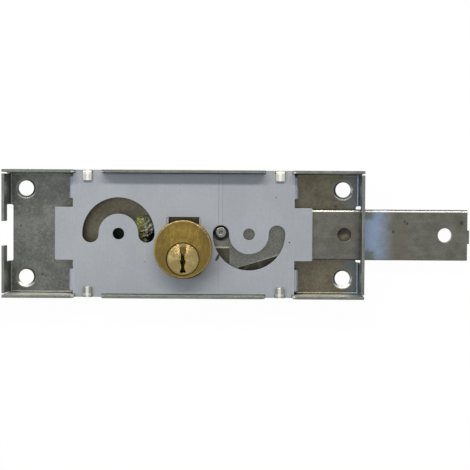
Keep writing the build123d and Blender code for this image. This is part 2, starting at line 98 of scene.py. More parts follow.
class Value:
    """A number that changes over a surface, so that shader maths reads as Python."""

    def __init__(self, graph: Graph, socket: bpy.types.NodeSocket) -> None:
        """Wraps a node's output.

        Args:
            graph: The tree that the socket belongs to.
            socket: The output that carries the number.
        """
        self.graph = graph
        self.socket = socket

    def __add__(self, other: Number) -> Value:
        """Sum."""
        return self.graph.math("ADD", self, other)

    def __sub__(self, other: Number) -> Value:
        """Difference."""
        return self.graph.math("SUBTRACT", self, other)

    def __rsub__(self, other: Number) -> Value:
        """Difference, with the number first."""
        return self.graph.math("SUBTRACT", other, self)

    def __mul__(self, other: Number) -> Value:
        """Product."""
        return self.graph.math("MULTIPLY", self, other)

    def __pow__(self, other: Number) -> Value:
        """Power."""
        return self.graph.math("POWER", self, other)

    def __abs__(self) -> Value:
        """Distance from zero."""
        return self.graph.math("ABSOLUTE", self)

    __radd__ = __add__
    __rmul__ = __mul__

    def rise(self, low: float, high: float) -> Value:
        """Smooth step from 0 to 1 between two numbers, or from 1 to 0 where low is above high.

        Args:
            low: Where the step starts from 0.
            high: Where it has reached 1.

        Returns:
            The step.
        """
        if low > high:
            return 1.0 - self.rise(high, low)
        inputs = {"Value": self, "From Min": low, "From Max": high}
        step = self.graph.node("ShaderNodeMapRange", inputs, interpolation_type="SMOOTHSTEP")
        return Value(self.graph, step.outputs["Result"])

    def band(self, span: Span, soft: float) -> Value:
        """1 inside a span and 0 outside it, with soft ends."""
        low, high = span
        return self.rise(low - soft, low + soft) * self.rise(high + soft, high - soft)

    def near(self, middle: float, half: float, soft: float) -> Value:
        """1 within half a width of a number and 0 further off, with soft ends."""
        return self.band((middle - half, middle + half), soft)

    def larger(self, other: Number) -> Value:
        """The larger of two numbers."""
        return self.graph.math("MAXIMUM", self, other)


class Graph:
    """A node tree that is written as expressions."""

    def __init__(self, tree: bpy.types.NodeTree) -> None:
        """Starts an empty tree."""
        tree.nodes.clear()
        self.tree = tree

    def node(
        self, kind: str, inputs: dict[str | int, object] | None = None, **settings: object
    ) -> bpy.types.Node:
        """Makes any node.

        Args:
            kind: The node's type.
            inputs: Values or links of its sockets, by name or number.
            **settings: Properties that are set before the sockets.

        Returns:
            The node.
        """
        made = self.tree.nodes.new(kind)
        for name, setting in settings.items():
            setattr(made, name, setting)
        for key, value in (inputs or {}).items():
            self._feed(made.inputs[key], value)
        return made

    def _feed(self, socket: bpy.types.NodeSocket, value: object) -> None:
        """Links a socket or sets its number, vector or colour.

        Args:
            socket: The input socket.
            value: A value, another node's output, a number, a vector or a colour.
        """
        if isinstance(value, Value):
            value = value.socket
        if isinstance(value, bpy.types.NodeSocket):
            self.tree.links.new(value, socket)
        elif isinstance(value, tuple) and len(socket.default_value) == len(value) + 1:
            socket.default_value = (*value, 1.0)
        else:
            socket.default_value = value

    def math(self, operation: str, *terms: Number) -> Value:
        """A Math node on values and numbers."""
        made = self.node("ShaderNodeMath", dict(enumerate(terms)), operation=operation)
        return Value(self, made.outputs[0])

    def reach(self, across: Value, along: Value) -> Value:
        """Length of a flat vector, from its two parts."""
        return self.math("SQRT", across * across + along * along)

    def wave(self, phase: Value) -> Value:
        """Sine wave of a phase in radians, from 0 to 1."""
        return self.math("SINE", phase) * 0.5 + 0.5

    def mix(self, under: Paint, over: Paint, mask: Number) -> bpy.types.NodeSocket:
        """Lays one colour over another.

        Args:
            under: The colour where the mask is 0.
            over: The colour where the mask is 1.
            mask: Number from 0 to 1.

        Returns:
            The mixed colour's socket.
        """
        # The node has sockets for each kind of data, and these are the ones for colours.
        inputs = {0: mask, 6: under, 7: over}
        return self.node("ShaderNodeMix", inputs, data_type="RGBA").outputs[2]


class Ground:
    """Patterns over a piece, in millimetres of the shared frame."""

    def __init__(self, graph: Graph) -> None:
        """Reads the Object coordinates of a piece.

        Args:
            graph: The tree that the patterns are made in.
        """
        self.graph = graph
        place = graph.node("ShaderNodeTexCoord").outputs["Object"]
        scaled = graph.node("ShaderNodeVectorMath", {0: place, "Scale": 1 / MM}, operation="SCALE")
        self.point = scaled.outputs[0]
        split = graph.node("ShaderNodeSeparateXYZ", {0: self.point})
        self.x, self.y, self.z = (Value(graph, output) for output in split.outputs)

    def noise(self, grain: Point, detail: float = 2.0, seed: float = 0.0) -> Value:
        """Cloudy noise with its own size along each axis.

        Args:
            grain: Size of one cloud along X, Y and Z.
            detail: How many finer layers it has.
            seed: Moves the pattern, so that two of them differ.

        Returns:
            Noise from 0 to 1, mostly near a half.
        """
        inputs = {0: self.point, 1: tuple(1 / size for size in grain), 2: (seed, -seed, seed / 2)}
        stretched = self.graph.node("ShaderNodeVectorMath", inputs, operation="MULTIPLY_ADD")
        inputs = {"Vector": stretched.outputs[0], "Scale": 1.0, "Detail": detail}
        return Value(self.graph, self.graph.node("ShaderNodeTexNoise", inputs).outputs[0])

    def patch(self, area: Area, soft: float, ragged: float = 0.0, grain: float = 1.8) -> Value:
        """A soft rectangle seen from above, with ragged ends where asked.

        Args:
            area: Its spans along X and Y.
            soft: Half the width of its soft ends.
            ragged: How far noise moves its ends.
            grain: Size of that noise.

        Returns:
            A mask, 1 inside.
        """
        x_span, y_span = area
        shift: Number = 0.0
        if ragged:
            shift = (self.noise((grain,) * 3, 3.0, x_span[0]) - 0.5) * (4 * ragged)
        return (self.x + shift).band(x_span, soft) * (self.y + shift).band(y_span, soft)

    def ring_distance(self, x: float, y: float) -> Value:
        """Distance from an upright axis, seen from above."""
        return self.graph.reach(self.x - x, self.y - y)

    def spots(self, places: Sequence[Point], core: float = 0.35) -> Value:
        """Round soft spots, each given as X, Y and radius.

        Args:
            places: The spots.
            core: Share of the radius inside which a spot is full.

        Returns:
            A mask, 1 in the middle of each spot.
        """
        mask: Number = 0.0
        for x, y, radius in places:
            mask = self.ring_distance(x, y).rise(radius, radius * core) + mask
        return mask


@dataclass
class Skin:
    """What a finish feeds to the shader.

    Attributes:
        color: Base colour.
        roughness: Roughness.
        metallic: How much of the surface is bare metal.
        height: Relief for the bump, from about 0 to 1.
        relief: How deep that relief is, in millimetres.
        clear: Weight of the clear coat, for oil and grease.
        clear_roughness: Roughness of that coat.
    """

    color: Paint
    roughness: Number
    metallic: Number
    height: Value
    relief: float
    clear: Number = 0.0
    clear_roughness: float = 0.12


@dataclass(frozen=True)
class Finish:
    """A finish of the lock, made into one material.

    Attributes:
        name: The material's name.
        slot: The record's material slot; not used.
        color: Its main colour.
        roughness: Its mean roughness.
        metallic: How metallic it is.
    """

    name: str
    slot: str
    color: Color
    roughness: float
    metallic: float

    def skin(self, ground: Ground) -> Skin:
        """The surface of this finish, which each kind of finish works out itself."""
        raise NotImplementedError

    def mottled(
        self, graph: Graph, spread: Span, mask: Value, color: Color | None = None
    ) -> bpy.types.NodeSocket:
        """A colour that goes from a darker tone to a lighter one.

        Args:
            graph: The tree of the material.
            spread: Factors of the colour where the mask is 0 and where it is 1.
            mask: Number from 0 to 1.
            color: The colour, or None for the main colour.

        Returns:
            The mixed colour's socket.
        """
        dark, light = (tuple(part * by for part in color or self.color) for by in spread)
        return graph.mix(dark, light, mask)

    def material(self) -> bpy.types.Material:
        """Makes the material.

        Returns:
            A material whose maps all come from Object coordinates.
        """
        made = bpy.data.materials.get(self.name)
        if made:
            return made
        made = bpy.data.materials.new(self.name)
        made.use_nodes = True
        graph = Graph(made.node_tree)
        skin = self.skin(Ground(graph))
        relief = {"Height": skin.height, "Distance": skin.relief * MM, "Strength": 1.0}
        inputs = {
            "Base Color": skin.color,
            "Roughness": skin.roughness,
            "Metallic": skin.metallic,
            "Coat Weight": skin.clear,
            "Coat Roughness": skin.clear_roughness,
            "Normal": graph.node("ShaderNodeBump", relief).outputs[0],
        }
        shader = graph.node("ShaderNodeBsdfPrincipled", inputs)
        graph.node("ShaderNodeOutputMaterial", {"Surface": shader.outputs[0]})
        return made


@dataclass(frozen=True)
class ZincCover(Finish):
    """Bright zinc on the cover plate: even, faintly brushed across, with a few marks of use.

    Attributes:
        lines: Thin brown rolling lines across the plate, each an X and its lower and upper end.
        line_half: Half the width of a line.
        line_color: Colour of the lines.
        specks: Dark specks, each X, Y and radius.
        speck_color: Their colour.
        drip: Spans of a faint yellow drip along X and Y.
        drip_color: Its colour.
        bend: Distance from the middle where the legs start to bend.
        legs: Distance of the legs' middles from the middle, along Y, and half a leg's width.
        bend_reflection_color: Colour of a painted bluish reflection on the legs' bends.
    """

    lines: tuple[Point, ...] = ((15.0, 3.5, 24.4), (16.75, 3.5, 24.4), (15.0, -22.0, -10.0))
    line_half: float = 0.15
    line_color: Color = (0.14, 0.13, 0.11)
    specks: tuple[Point, ...] = (
        (14.1, -11.1, 0.7),
        (14.5, -10.4, 0.85),
        (14.8, -9.7, 0.85),
        (15.1, -9.0, 0.7),
        (45.6, -3.4, 0.5),
        (39.8, 15.9, 0.35),
        (-16.7, -12.0, 0.3),
    )
    speck_color: Color = (0.012, 0.012, 0.011)
    drip: Area = ((-17.1, -16.4), (-12.2, -3.6))
    drip_color: Color = (0.36, 0.36, 0.27)
    bend: float = 47.6
    legs: Span = (20.0, 5.0)
    bend_reflection_color: Color = (0.36, 0.37, 0.47)

    def skin(self, ground: Ground) -> Skin:
        """Even zinc with brushed streaks, lines, specks, one drip and a painted reflection on the
        bends.

        Args:
            ground: Patterns over the piece.

        Returns:
            What the finish feeds to the shader.
        """
        graph = ground.graph
        brushed = ground.noise((0.35, 14.0, 3.0), detail=3.0)
        cloud = ground.noise((16.0, 22.0, 8.0), seed=3.0)
        fine = ground.noise((0.9, 1.1, 1.0), detail=3.0, seed=8.0)
        tone = brushed * 0.25 + cloud * 0.45 + fine * 0.3
        color = self.mottled(graph, (0.94, 1.06), tone.rise(*USUAL))
        for x, low, high in self.lines:
            line = ground.x.near(x, self.line_half, 0.12) * ground.y.band((low, high), 0.8)
            color = graph.mix(color, self.line_color, line * cloud.rise(0.2, 0.6) * 0.55)
        drip = ground.patch(self.drip, soft=0.5, ragged=0.4)
        color = graph.mix(color, self.drip_color, drip * 0.3)
        # Painted bluish reflection on the bends of the legs.
        bend = (abs(ground.x) - self.bend).rise(-0.6, 0.4) * abs(ground.y).near(*self.legs, 0.1)
        color = graph.mix(color, self.bend_reflection_color, bend * 0.5)
        color = graph.mix(color, self.speck_color, ground.spots(self.specks))
        roughness = self.roughness + (brushed - 0.5) * 0.06 + drip * 0.1
        return Skin(color, roughness, self.metallic, height=brushed, relief=0.002)


@dataclass(frozen=True)
class CaseSheet(Finish):
    """Dull galvanised sheet, greyer at the left end and browner at the right.

    Attributes:
        base: Colour of the flat base at the left end.
        fleck: Colour of pale flecks on the base.
        brown: Colour of the browner base, under the cover and at the right end.
        wall: Colour of the walls' faces, which are duller and more matt.
        bluish: Colour of a painted bluish reflection on the right end, below the walls' top edges.
        bright: Colour of a painted highlight on the tabs, much stronger on the upper two.
        tab_highlight_color: Colour of a painted highlight along the middle of a tab.
        sink: Colour of the cut metal in the countersinks.
        rubbed: Colour of a painted highlight on the lower side of a countersink.
        inner: Heights between which the back ends and the inner side starts.
        low: Heights between which the walls end and the base starts.
        rim: Heights between which the walls' top edges end and their faces start.
        wall_foot: Heights between which the base ends and the walls' faces start.
        walls: Span of the long walls, from the middle along Y.
        bays: Distances from the middle, along X, between which the cover ends.
        brown_from: The X between which the base turns brown.
        bluish_from: The X between which the right end turns bluish.
        tabs: Distance of the tabs from the middle, along X, and half a tab's width.
        tab_foot: Heights between which a tab starts.
        upper: The Y between which the upper half starts.
        screws: Distance of the screw holes from the middle, along X and Y.
        stains_and_shade: Spots, each X, Y and radius: dark stains, and painted shade under the
            right arc slot.
        stain_and_shade_color: Their colour.
        painted_shade_spots: Places on the base that are painted black as shade, each X, Y and
            radius.
        oil: Colour of that painted shade.
    """

    base: Color = (0.119, 0.125, 0.113)
    fleck: Color = (0.22, 0.235, 0.215)
    brown: Color = (0.115, 0.105, 0.075)
    wall: Color = (0.62, 0.62, 0.56)
    bluish: Color = (0.13, 0.155, 0.17)
    bright: Color = (0.55, 0.54, 0.46)
    tab_highlight_color: Color = (0.85, 0.85, 0.8)
    sink: Color = (0.13, 0.135, 0.12)
    rubbed: Color = (0.38, 0.39, 0.37)
    inner: Span = (0.4, 0.9)
    low: Span = (3.0, 1.6)
    rim: Span = (14.7, 14.4)
    wall_foot: Span = (1.9, 2.6)
    walls: Span = (25.7, 27.0)
    bays: Span = (44.0, 48.0)
    brown_from: Span = (-54.0, -46.0)
    bluish_from: Span = (67.0, 75.0)
    tabs: Span = (TAB_X, 2.2)
    tab_foot: Span = (9.2, 9.6)
    upper: Span = (10.0, 12.0)
    screws: Span = (69.3, 19.4)
    stains_and_shade: tuple[Point, ...] = (
        (-62.0, -18.2, 0.9),
        (-60.6, -18.7, 0.6),
        (66.0, 12.2, 1.2),
        (-71.5, 3.0, 0.8),
        (15.0, -9.6, 5.0),
        (24.0, -14.8, 3.4),
        (30.0, -14.2, 4.0),
        (35.5, -12.6, 3.0),
    )
    stain_and_shade_color: Color = (0.045, 0.045, 0.035)
    painted_shade_spots: tuple[Point, ...] = ((-29.0, -0.3, 5.5), (-13.4, -1.4, 4.6))
    oil: Color = (0.011, 0.013, 0.011)

    def skin(self, ground: Ground) -> Skin:
        """Mottled sheet with a brown end and stains, painted highlights on the tabs and the sinks'
        lower sides, a painted bluish reflection at the right end and painted shade on the base.

        Args:
            ground: Patterns over the piece.

        Returns:
            What the finish feeds to the shader.
        """
        graph = ground.graph
        fine = ground.noise((0.8, 0.8, 0.8), detail=4.0)
        cloud = ground.noise((6.0, 9.0, 6.0), detail=3.0, seed=5.0)
        tone = (fine * 0.5 + cloud * 0.5).rise(*USUAL)
        out_x, out_y = abs(ground.x), abs(ground.y)
        low = ground.z.rise(*self.low)
        face = ground.z.rise(*self.rim)
        wall = ground.z.rise(*self.wall_foot) * face * out_y.band(self.walls, 0.3)
        color = self.mottled(graph, (0.86, 1.14), tone)
        color = graph.mix(color, self.mottled(graph, (0.8, 1.22), tone, self.base), low)
        color = graph.mix(color, self.fleck, low * fine.rise(0.62, 0.7) * 0.4)
        bay = out_x.rise(*self.bays) * 0.7 + 0.3
        color = graph.mix(color, self.wall, wall * bay * (tone * 0.3 + 0.7))
        brown = self.mottled(graph, (0.8, 1.22), tone, self.brown)
        color = graph.mix(color, brown, low * ground.x.rise(*self.brown_from))
        # Painted bluish reflection on the right end, below the walls' top edges.
        color = graph.mix(color, self.bluish, ground.x.rise(*self.bluish_from) * face * 0.75)
        # Painted highlights on the tabs, much stronger on the upper two, and along each tab's
        # middle.
        tab = out_x.near(*self.tabs, 0.1) * ground.z.rise(*self.tab_foot)
        upper = ground.y.rise(*self.upper)
        bright = (tab * upper * 0.7 + tab * 0.15) * fine.rise(0.1, 0.5)
        color = graph.mix(color, self.bright, bright)
        color = graph.mix(color, self.tab_highlight_color, out_x.near(self.tabs[0] - 0.1, 0.6, 0.4) * tab * 0.6)
        far, up = self.screws
        sink = graph.reach(out_x - far, out_y - up).rise(4.8, 4.4)
        color = graph.mix(color, self.sink, sink * 0.9)
        # Painted highlight on the lower side of each countersink.
        rubbed = (ground.y - up).rise(-1.8, -3.2) * upper
        rubbed = rubbed + (ground.y + up).rise(-1.8, -3.2)
        color = graph.mix(color, self.rubbed, sink * rubbed)
        inner = ground.z.rise(*self.inner)
        # Dark stains, and painted shade on the base under the right arc slot.
        color = graph.mix(color, self.stain_and_shade_color, ground.spots(self.stains_and_shade) * inner * 0.65)
        # Painted black shade under the cover's left hole and at the left arc slot's right end.
        color = graph.mix(color, self.oil, ground.spots(self.painted_shade_spots) * inner * low)
        roughness = self.roughness + (cloud - 0.5) * 0.14 + wall * 0.1
        return Skin(color, roughness, self.metallic - wall * 0.65, height=fine, relief=0.006)


@dataclass(frozen=True)
class BarSteel(Finish):
    """Zinc-plated flat bar, mottled, with brown and dark patches, a painted light-bluish
    reflection and painted shade of the case's wall near the case.

    Attributes:
        painted_reflection: Spans along X and Y of a painted light-bluish reflection outside the
            case.
        painted_reflection_color: Its colour.
        dark: Dark patches: two of painted shade from the case's right wall, and a blotch near the
            end.
        wall_shade_and_blotch_color: Their colour.
        brown: A brown zone.
        brown_color: Its colour.
        spots: Dark spots, each X, Y and radius.
        spot_color: Their colour.
        window: The X of the end window, near which the painted edge highlight is dimmer.
        outside: The X between which the bar leaves the case.
        polished: Span along Y of a painted highlight on the upper eased edge.
        edge_highlight_color: Colour of that painted highlight.
        upper: Heights between which the bar's upper side starts.
        yoke_end: The X between which the bar ends and the yoke starts.
        yoke: Colour of the speckled plating on the yoke.
        worn: Straight edges of the yoke with a painted highlight, each the X and Y of the edge's
        normal and its distance from the origin.
        yoke_edge_highlight_color: Colour of that painted highlight.
    """

    painted_reflection: Area = ((70.0, 86.5), (-12.0, 12.0))
    painted_reflection_color: Color = (0.205, 0.28, 0.405)
    dark: tuple[Area, ...] = (
        ((70.0, 82.2), (6.6, 12.0)),
        ((70.0, 82.6), (-12.0, -6.6)),
        ((118.4, 120.6), (3.4, 7.4)),
    )
    wall_shade_and_blotch_color: Color = (0.085, 0.093, 0.06)
    brown: Area = ((89.0, 97.5), (-10.5, 10.5))
    brown_color: Color = (0.125, 0.11, 0.085)
    spots: tuple[Point, ...] = (
        (96.6, 5.0, 0.8),
        (95.5, 5.9, 0.7),
        (120.2, 5.4, 1.3),
        (90.6, 1.4, 0.9),
        (101.0, -7.5, 0.3),
        (55.0, -6.0, 0.35),
    )
    spot_color: Color = (0.05, 0.048, 0.04)
    window: float = 75.5
    outside: Span = (76.2, 77.2)
    polished: Span = (9.9, 10.35)
    edge_highlight_color: Color = (0.62, 0.61, 0.56)
    upper: Span = (5.9, 6.3)
    yoke_end: Span = (44.0, 42.0)
    yoke: Color = (0.15, 0.158, 0.14)
    worn: tuple[Point, ...] = ((1.0, 0.0, 19.8), (-0.314, 0.949, -21.2))
    yoke_edge_highlight_color: Color = (0.3, 0.3, 0.27)

    def skin(self, ground: Ground) -> Skin:
        """Mottled plating with its patches, and a painted highlight along the upper eased edge.

        Args:
            ground: Patterns over the piece.

        Returns:
            What the finish feeds to the shader.
        """
        graph = ground.graph
        fine = ground.noise((0.5, 0.5, 0.5), detail=4.0)
        drawn = ground.noise((9.0, 0.8, 2.0), detail=3.0, seed=2.0)
        cloud = ground.noise((4.0, 4.0, 4.0), detail=3.0, seed=7.0)
        tone = (fine * 0.5 + drawn * 0.15 + cloud * 0.35).rise(*USUAL)
        color = self.mottled(graph, (0.78, 1.2), tone)
        outside = ground.x.rise(*self.outside)
        brown = ground.patch(self.brown, soft=2.0, ragged=0.8) * cloud.rise(0.35, 0.6)
        color = graph.mix(color, self.brown_color, brown * 0.6)
        # Painted light-bluish reflection on the bar outside the case.
        painted_reflection = ground.patch(self.painted_reflection, soft=5.0, ragged=0.7) * outside
        color = graph.mix(color, self.painted_reflection_color, painted_reflection * (tone * 0.15 + 0.8))
        # Painted shade of the case's right wall either side of the bar, and one blotch near the
        # end.
        for area in self.dark:
            dark = ground.patch(area, soft=1.3, ragged=0.6) * outside * (fine * 0.6 + 0.45)
            color = graph.mix(color, self.wall_shade_and_blotch_color, dark)
        color = graph.mix(color, self.spot_color, ground.spots(self.spots) * 0.9)
        # Painted highlight along the upper eased edge, dimmer near the end window.
        polished = ground.y.band(self.polished, 0.15) * ground.z.rise(*self.upper)
        away = abs(ground.x - self.window).rise(1.6, 3.0) * 0.6 + 0.4
        color = graph.mix(color, self.edge_highlight_color, polished * away * drawn.rise(0.2, 0.45))
        yoke = ground.x.rise(*self.yoke_end)
        color = graph.mix(color, self.yoke, yoke * fine.rise(0.4, 0.6) * 0.8)
        # Painted highlight along the yoke's straight edges.
        for x, y, far in self.worn:
            edge = (ground.x * x + ground.y * y).near(far, 0.2, 0.12)
            edge = edge * yoke * ground.y.rise(-2.5, -3.5)
            color = graph.mix(color, self.yoke_edge_highlight_color, edge * fine.rise(0.3, 0.5) * 0.8)
        roughness = self.roughness + (cloud - 0.5) * 0.14 + painted_reflection * 0.12
        return Skin(color, roughness, self.metallic - painted_reflection * 0.5, height=fine, relief=0.008)


@dataclass(frozen=True)
class OiledSteel(Finish):
    """Stamped steel inside the lock, dark with oil, with brighter bare streaks.

    Attributes:
        pin: X and Y of a pin with painted black shade round it, if the piece has one.
        grease: Colour of that painted shade.
        edge: A Y along which a straight edge gets a painted highlight, if the piece has one.
        rubbed: Colour of that painted highlight.
    """

    pin: Span | None = None
    grease: Color = (0.004, 0.005, 0.004)
    edge: float | None = None
    rubbed: Color = (0.42, 0.42, 0.35)

    def skin(self, ground: Ground) -> Skin:
        """Patches of oil over stamped steel, and a painted edge highlight and pin shade where
        asked.

        Args:
            ground: Patterns over the piece.

        Returns:
            What the finish feeds to the shader.
        """
        graph = ground.graph
        fine = ground.noise((0.5, 0.5, 0.9), detail=4.0)
        film = ground.noise((3.0, 2.4, 3.0), detail=3.0, seed=4.0)
        color = self.mottled(graph, (0.7, 1.2), (fine * 0.4 + film * 0.6).rise(*USUAL))
        # Painted highlight along a straight edge.
        if self.edge is not None:
            rubbed = ground.y.band((self.edge - 0.4, self.edge + 0.75), 0.2)
            color = graph.mix(color, self.rubbed, rubbed * fine.rise(0.25, 0.55))
        # Painted black shade round the pin.
        if self.pin:
            ring = ground.ring_distance(*self.pin).rise(4.4, 3.3)
            color = graph.mix(color, self.grease, ring)
        oil = film.rise(0.56, 0.44) * 0.5
        roughness = self.roughness + (fine - 0.5) * 0.16
        return Skin(color, roughness, self.metallic, height=fine, relief=0.006, clear=oil)


@dataclass(frozen=True)
class TurnedSteel(Finish):
    """Bright turned steel of the crank pin, with a dark groove on its head.

    Attributes:
        axis: X and Y of its axis.
        groove: Radius of the groove and of the dimple.
        dirt: The darker colour in them.
    """

    axis: Span = CRANK_PIN
    groove: Span = (1.55, 0.75)
    dirt: Color = (0.06, 0.06, 0.05)

    def skin(self, ground: Ground) -> Skin:
        """Turning marks round the axis, and a darker colour in the groove and the dimple.

        Args:
            ground: Patterns over the piece.

        Returns:
            What the finish feeds to the shader.
        """
        graph = ground.graph
        distance = ground.ring_distance(*self.axis)
        fine = ground.noise((0.4, 0.4, 0.4), detail=3.0)
        ring, dimple = self.groove
        dirt = distance.near(ring, 0.12, 0.12) * 0.6
        dirt = dirt.larger(distance.rise(dimple, dimple - 0.25) * fine.rise(0.3, 0.6) * 0.8)
        color = graph.mix(self.mottled(graph, (0.85, 1.15), fine), self.dirt, dirt)
        roughness = self.roughness + (fine - 0.5) * 0.1
        rings = graph.wave(distance * 30.0)
        return Skin(color, roughness, self.metallic, height=rings, relief=0.002)


@dataclass(frozen=True)
class TurnedBrass(Finish):
    """Brass turned on a lathe: fine rings round its own axis, tarnish, and a painted rim highlight.

    Attributes:
        axis: X and Y of the axis that it was turned on.
        tarnish: Colour of the tarnish.
        tarnished: How much tarnish it has.
        grooves: Depth of the turning grooves.
        rim: Radius of the rim with a painted highlight, and 0 for none.
        rim_from: Heights between which the rim starts.
        rim_highlight_color: Colour of that painted highlight.
        handled: X, Y and radius of the place that handling keeps clean, if the piece has one.
        warm: Colour of the warm streaks on a handled piece.
        channel: Spans along X and Y of a channel painted dark as shade, if the piece has one.
        channel_top: Heights between which the channel starts.
        channel_shade_color: Colour of that painted shade, which grows towards the keyhole.
        seam: X, Y and radius of a round seam with dirt in it, if the piece has one.
        seam_dirt: Colour of that dirt.
    """

    axis: Span = (0.0, -6.2)
    tarnish: Color = (0.11, 0.075, 0.022)
    tarnished: float = 0.6
    grooves: float = 0.009
    rim: float = 0.0
    rim_from: Span = (15.5, 16.6)
    rim_highlight_color: Color = (0.4, 0.32, 0.11)
    handled: Point | None = None
    warm: Color = (0.17, 0.08, 0.014)
    channel: Area | None = None
    channel_top: Span = (17.15, 16.95)
    channel_shade_color: Color = (0.075, 0.045, 0.018)
    seam: Point | None = None
    seam_dirt: Color = (0.03, 0.022, 0.01)

    def skin(self, ground: Ground) -> Skin:
        """Turned brass with grooves, tarnish, a painted rim highlight and painted shade in the
        channel.

        Args:
            ground: Patterns over the piece.

        Returns:
            What the finish feeds to the shader.
        """
        graph = ground.graph
        distance = ground.ring_distance(*self.axis)
        wander = ground.noise((3.0, 3.0, 3.0), seed=1.0) * 12.0
        rings = graph.wave(distance * 46.0 + wander)
        fine = ground.noise((0.35, 0.8, 0.5), detail=4.0)
        cloud = ground.noise((2.6, 3.6, 3.0), detail=3.0, seed=9.0)
        stain = (cloud * 0.7 + fine * 0.3).rise(0.42, 0.6) * self.tarnished
        color = graph.mix(self.mottled(graph, (0.9, 1.1), fine), self.tarnish, stain)
        if self.handled:
            x, y, radius = self.handled
            warm = ground.noise((0.7, 2.4, 2.0), detail=4.0, seed=3.0).rise(0.5, 0.6)
            color = graph.mix(color, self.warm, warm * 0.6)
            worn = (ground.ring_distance(x, y) + (cloud - 0.5) * 8.0).rise(radius, radius * 1.8)
            color = graph.mix(color, self.tarnish, worn * (fine * 0.4 + 0.4))
        roughness = self.roughness + (fine - 0.5) * 0.12 + stain * 0.1
        if self.rim:
            # Painted highlight on the rim.
            rim = distance.rise(self.rim - 0.8, self.rim - 0.3) * ground.z.rise(*self.rim_from)
            color = graph.mix(color, self.rim_highlight_color, rim * fine.rise(0.25, 0.6) * 0.5)
        if self.channel:
            # Painted shade in the channel, darker towards the keyhole.
            dirty = ground.patch(self.channel, soft=0.12) * ground.z.rise(*self.channel_top)
            deep = dirty * ground.y.rise(-3.4, -6.0)
            color = graph.mix(color, self.channel_shade_color, deep * 0.9)
            roughness = roughness + dirty * 0.25
        if self.seam:
            x, y, radius = self.seam
            dirty = abs(ground.ring_distance(x, y) - radius).rise(0.34, 0.1)
            color = graph.mix(color, self.seam_dirt, dirty * 0.8)
        return Skin(color, roughness, self.metallic, height=rings, relief=self.grooves)


@dataclass(frozen=True)
class BrownBlock(Finish):
    """Matt brown block under the bar, with greasy rub marks.

    Attributes:
        rubbed: Colour of the rub marks.
    """

    rubbed: Color = (0.14, 0.12, 0.095)

    def skin(self, ground: Ground) -> Skin:
        """Fibrous brown with paler rubbing along the bar's travel.

        Args:
            ground: Patterns over the piece.

        Returns:
            What the finish feeds to the shader.
        """
        graph = ground.graph
        fibre = ground.noise((2.5, 0.4, 0.6), detail=4.0)
        cloud = ground.noise((4.0, 4.0, 4.0), seed=2.0)
        color = self.mottled(graph, (0.7, 1.4), fibre.rise(0.35, 0.65))
        color = graph.mix(color, self.rubbed, cloud.rise(0.5, 0.62) * 0.7)
        roughness = self.roughness + (cloud - 0.5) * 0.3
        return Skin(color, roughness, self.metallic, height=fibre, relief=0.03)


@dataclass(frozen=True)
class Grease(Finish):
    """Yellow-green grease, translucent and glossy, with pale streaks across it.

    Attributes:
        thin: Colour of the thin film on the right.
        thin_from: The X between which that film starts.
        streak: Colour of the pale streaks.
        shade_spot: X and Y of a spot painted black as shade.
        shade_spot_color: Its colour.
    """

    thin: Color = (0.1, 0.108, 0.07)
    thin_from: Span = (-18.6, -16.6)
    streak: Color = (0.33, 0.35, 0.25)
    shade_spot: Span = (-14.0, -1.6)
    shade_spot_color: Color = (0.008, 0.009, 0.007)

    def skin(self, ground: Ground) -> Skin:
        """Grease with diagonal pale streaks, thin and dark towards the key cylinder; one painted
        shade spot.

        Args:
            ground: Patterns over the piece.

        Returns:
            What the finish feeds to the shader.
        """
        graph = ground.graph
        cloud = ground.noise((1.2, 1.2, 1.2), detail=4.0, seed=6.0)
        across = ground.y * 0.82 - ground.x * 0.57
        streaks = graph.wave(across * 3.4 + cloud * 14.0) ** 2.0
        color = self.mottled(graph, (0.45, 1.25), cloud.rise(*USUAL))
        right = (ground.x + (cloud - 0.5) * 5.0).rise(*self.thin_from)
        color = graph.mix(color, self.thin, right * 0.85)
        color = graph.mix(color, self.streak, streaks * (right * 0.5 + 0.25))
        # Painted black shade in one spot.
        shade_spot = ground.ring_distance(*self.shade_spot) + (cloud - 0.5) * 3.0
        color = graph.mix(color, self.shade_spot_color, shade_spot.rise(3.2, 2.0))
        return Skin(color, self.roughness, self.metallic, height=cloud, relief=0.06, clear=0.5)


